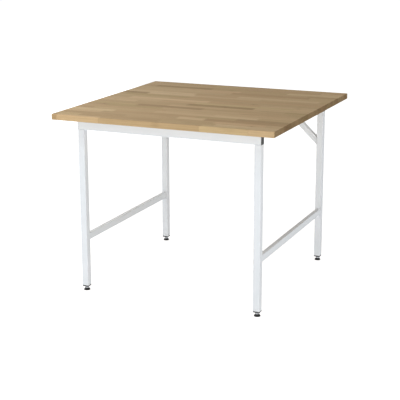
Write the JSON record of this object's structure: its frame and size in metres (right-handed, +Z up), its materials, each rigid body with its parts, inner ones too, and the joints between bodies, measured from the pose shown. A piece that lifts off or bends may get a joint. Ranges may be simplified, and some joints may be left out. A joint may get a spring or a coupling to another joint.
{
  "type": "height-adjustable work table",
  "caption": "Square work table with a jointed hardwood top on a welded and screwed frame of square steel tube, standing on screw feet that set its height.",
  "frame": {"origin": "on the floor, under the middle of the table", "axes": "+Z up, +X to the right along the front edge, +Y from the front beam to the braced rear"},
  "size_m": [1, 1, 0.8],
  "materials": {
    "wood": "oiled jointed staves",
    "frame_paint": "satin powder coat",
    "black_plastic": "moulded, matte",
    "zinc_steel": "zinc plated"
  },
  "bodies": {
    "frame": {"beam_screws": "zinc_steel", "brace_rivet_nuts": "zinc_steel", "brace_screws": "zinc_steel", "front_beam": "frame_paint", "front_beam_left_cap": "black_plastic", "front_beam_right_cap": "black_plastic", "front_left_foot_nut": "zinc_steel", "front_left_leg": "frame_paint", "front_left_leg_head": "frame_paint", "front_left_leg_plug": "black_plastic", "front_right_foot_nut": "zinc_steel", "front_right_leg": "frame_paint", "front_right_leg_head": "frame_paint", "front_right_leg_plug": "black_plastic", "left_brace": "frame_paint", "left_brace_caps": "black_plastic", "left_brace_tabs": "frame_paint", "left_side_rail": "frame_paint", "rear_beam": "frame_paint", "rear_beam_left_cap": "black_plastic", "rear_beam_right_cap": "black_plastic", "rear_left_foot_nut": "zinc_steel", "rear_left_leg": "frame_paint", "rear_left_leg_head": "frame_paint", "rear_left_leg_plug": "black_plastic", "rear_right_foot_nut": "zinc_steel", "rear_right_leg": "frame_paint", "rear_right_leg_head": "frame_paint", "rear_right_leg_plug": "black_plastic", "right_brace": "frame_paint", "right_brace_caps": "black_plastic", "right_brace_tabs": "frame_paint", "right_side_rail": "frame_paint", "table_top": "wood", "top_screws": "zinc_steel"},
    "front_left_foot": {"front_left_foot_pad": "black_plastic"},
    "front_left_screw": {"front_left_foot_stud": "zinc_steel"},
    "front_right_foot": {"front_right_foot_pad": "black_plastic"},
    "front_right_screw": {"front_right_foot_stud": "zinc_steel"},
    "rear_left_foot": {"rear_left_foot_pad": "black_plastic"},
    "rear_left_screw": {"rear_left_foot_stud": "zinc_steel"},
    "rear_right_foot": {"rear_right_foot_pad": "black_plastic"},
    "rear_right_screw": {"rear_right_foot_stud": "zinc_steel"}
  },
  "joints": [
    {"name": "front_left_foot_height", "type": "slide", "parent": "frame", "child": "front_left_foot", "axis": [0, 0, -1], "range_m": [-0.0025, 0.05]},
    {"name": "front_left_screw_turn", "type": "hinge", "parent": "front_left_foot", "child": "front_left_screw", "pos_m": [-0.403, -0.408, 0.05], "axis": [0, 0, -1], "range_deg": [-601, 12001]},
    {"name": "front_right_foot_height", "type": "slide", "parent": "frame", "child": "front_right_foot", "axis": [0, 0, -1], "range_m": [-0.0025, 0.05]},
    {"name": "front_right_screw_turn", "type": "hinge", "parent": "front_right_foot", "child": "front_right_screw", "pos_m": [0.403, -0.408, 0.05], "axis": [0, 0, -1], "range_deg": [-601, 12001]},
    {"name": "rear_left_foot_height", "type": "slide", "parent": "frame", "child": "rear_left_foot", "axis": [0, 0, -1], "range_m": [-0.0025, 0.05]},
    {"name": "rear_left_screw_turn", "type": "hinge", "parent": "rear_left_foot", "child": "rear_left_screw", "pos_m": [-0.403, 0.408, 0.05], "axis": [0, 0, -1], "range_deg": [-601, 12001]},
    {"name": "rear_right_foot_height", "type": "slide", "parent": "frame", "child": "rear_right_foot", "axis": [0, 0, -1], "range_m": [-0.0025, 0.05]},
    {"name": "rear_right_screw_turn", "type": "hinge", "parent": "rear_right_foot", "child": "rear_right_screw", "pos_m": [0.403, 0.408, 0.05], "axis": [0, 0, -1], "range_deg": [-601, 12001]}
  ],
  "couplings": [
    {"joint": "front_left_screw_turn", "follows": "front_left_foot_height", "rad_per_m": 4188.8},
    {"joint": "front_right_screw_turn", "follows": "front_right_foot_height", "rad_per_m": 4188.8},
    {"joint": "rear_left_screw_turn", "follows": "rear_left_foot_height", "rad_per_m": 4188.8},
    {"joint": "rear_right_screw_turn", "follows": "rear_right_foot_height", "rad_per_m": 4188.8}
  ]
}
